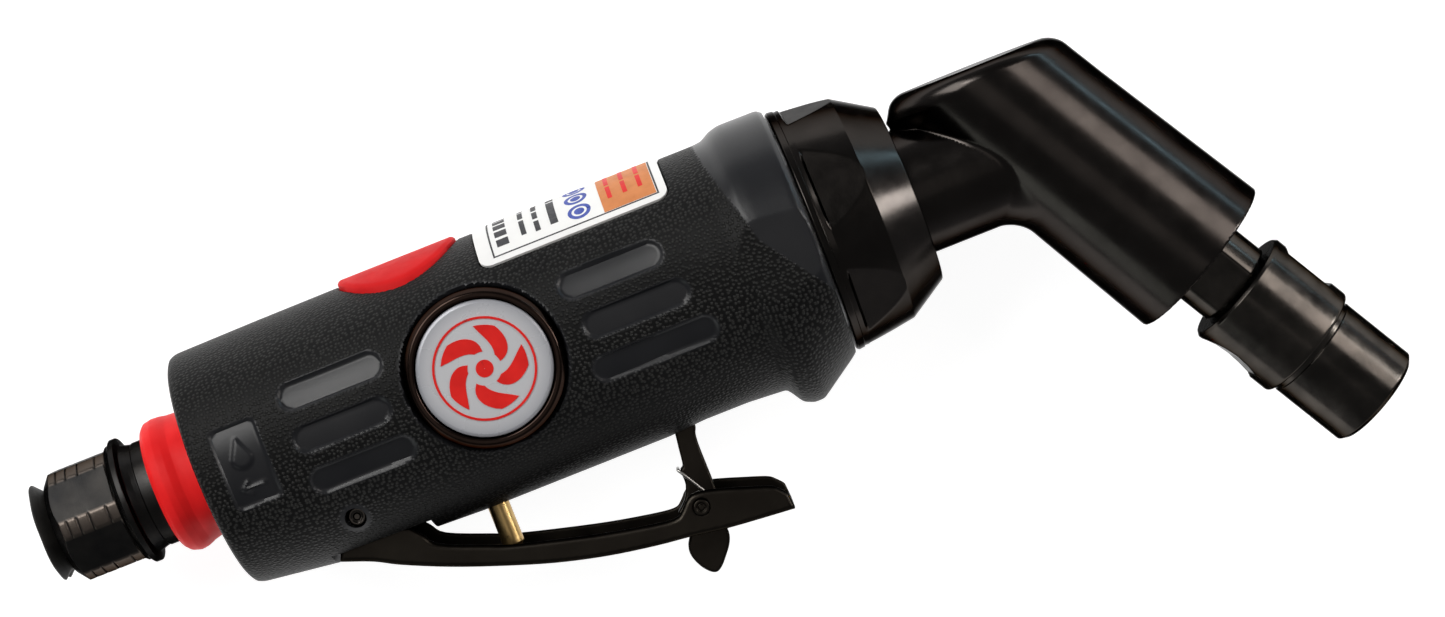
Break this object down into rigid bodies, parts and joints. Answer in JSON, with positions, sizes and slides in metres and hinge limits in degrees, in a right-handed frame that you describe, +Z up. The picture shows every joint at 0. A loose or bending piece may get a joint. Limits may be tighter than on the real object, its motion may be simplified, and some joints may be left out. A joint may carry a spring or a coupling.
{
  "type": "angle die grinder",
  "caption": "Pneumatic die grinder with a pebbled round grip, hinged throttle lever with safety catch, clamp nut and bent head with a collet.",
  "frame": {"origin": "middle of the tool's box in X and Y, at the surface it lies on when laid on its side", "axes": "+X along the motor axis from the air inlet to the head; +Y towards the tool's back, away from the throttle lever; +Z up out of the near side"},
  "size_m": [0.2018, 0.0794, 0.0392],
  "materials": {
    "grip_composite": "fine pebbled matt",
    "red_plastic": "satin moulded",
    "black_steel": "black oxide, turned",
    "head_black": "glossy black",
    "lever_black": "satin black with bright cut edges",
    "plain_steel": "ground",
    "core_alloy": "machined",
    "brass": "turned",
    "seal_rubber": "soft moulded",
    "silencer_felt": "felt",
    "vane_composite": "laminated",
    "badge_black": "glossy",
    "badge_silver": "satin silver under clear dome",
    "label_white": "printed film"
  },
  "bodies": {
    "housing": {"grip_housing": "grip_composite", "accent_insert": "red_plastic", "air_inlet": "black_steel", "clamp_nut": "black_steel", "bearing_cap": "black_steel", "angle_head": "head_black", "lever_pin": "plain_steel", "valve_spring": "plain_steel", "rear_end_plate": "plain_steel", "rear_bearing": "plain_steel", "rotor_cylinder": "plain_steel", "front_end_plate": "plain_steel", "front_bearing": "plain_steel", "wave_washer": "plain_steel", "pinion_rear_bearing": "plain_steel", "pinion_front_bearing": "plain_steel", "spindle_rear_bearing": "plain_steel", "bearing_spacer": "plain_steel", "spindle_front_bearing": "plain_steel", "motor_core": "core_alloy", "valve_bushing": "brass", "inlet_screen": "brass", "ring_seal": "seal_rubber", "stem_seal": "seal_rubber", "valve_seat": "seal_rubber", "silencer": "silencer_felt", "badge_bezel_near": "badge_black", "badge_bezel_far": "badge_black", "badge_disc_near": "badge_silver", "badge_disc_far": "badge_silver", "rating_label": "label_white"},
    "throttle": {"throttle_lever": "lever_black", "lock_pin": "lever_black", "lock_spring": "plain_steel"},
    "safety_catch": {"lock_lever": "lever_black"},
    "valve": {"valve_stem": "brass", "valve_head": "brass"},
    "exhaust_deflector": {"exhaust_ring": "red_plastic"},
    "rotor_group": {"rotor": "plain_steel", "vane_1": "vane_composite", "vane_2": "vane_composite", "vane_3": "vane_composite", "vane_4": "vane_composite", "pinion_shaft": "plain_steel"},
    "spindle_group": {"spindle": "black_steel", "bevel_gear": "plain_steel", "collet": "plain_steel"},
    "collet_nut": {"collet_nut": "black_steel"},
    "dust_plug": {"inlet_plug": "seal_rubber"}
  },
  "joints": [
    {"name": "throttle_press", "type": "hinge", "parent": "housing", "child": "throttle", "pos_m": [-0.05535, 0.00575, 0.0196], "axis": [0, 0, 1], "range_deg": [0, 6], "stiffness_Nm_per_rad": 1, "springref_deg": -8.59, "deforming": ["valve_spring"]},
    {"name": "lock_tilt", "type": "hinge", "parent": "throttle", "child": "safety_catch", "pos_m": [-0.00755, -0.01235, 0.0196], "axis": [0, 0, 1], "range_deg": [0, 78], "deforming": ["lock_spring"]},
    {"name": "valve_slide", "type": "slide", "parent": "housing", "child": "valve", "axis": [0, 1, 0], "range_m": [0, 0.0024]},
    {"name": "exhaust_ring_turn", "type": "hinge", "parent": "housing", "child": "exhaust_deflector", "pos_m": [-0.07725, 0.01955, 0.0196], "axis": [1, 0, 0], "continuous": true},
    {"name": "rotor_spin", "type": "hinge", "parent": "housing", "child": "rotor_group", "pos_m": [-0.00925, 0.01955, 0.0196], "axis": [1, 0, 0], "continuous": true},
    {"name": "spindle_spin", "type": "hinge", "parent": "housing", "child": "spindle_group", "pos_m": [0.07195, 0.00223, 0.0196], "axis": [0.5, -0.866, 0], "continuous": true},
    {"name": "collet_nut_turn", "type": "hinge", "parent": "spindle_group", "child": "collet_nut", "pos_m": [0.08695, -0.02375, 0.0196], "axis": [0.5, -0.866, 0], "range_deg": [0, 360]},
    {"name": "plug_pull", "type": "slide", "parent": "housing", "child": "dust_plug", "axis": [-1, 0, 0], "range_m": [0, 0.03]}
  ],
  "couplings": [
    {"joint": "lock_tilt", "follows": "throttle_press", "ratio": 13},
    {"joint": "valve_slide", "follows": "throttle_press", "m_per_rad": 0.0225},
    {"joint": "spindle_spin", "follows": "rotor_spin", "ratio": 0.8}
  ]
}
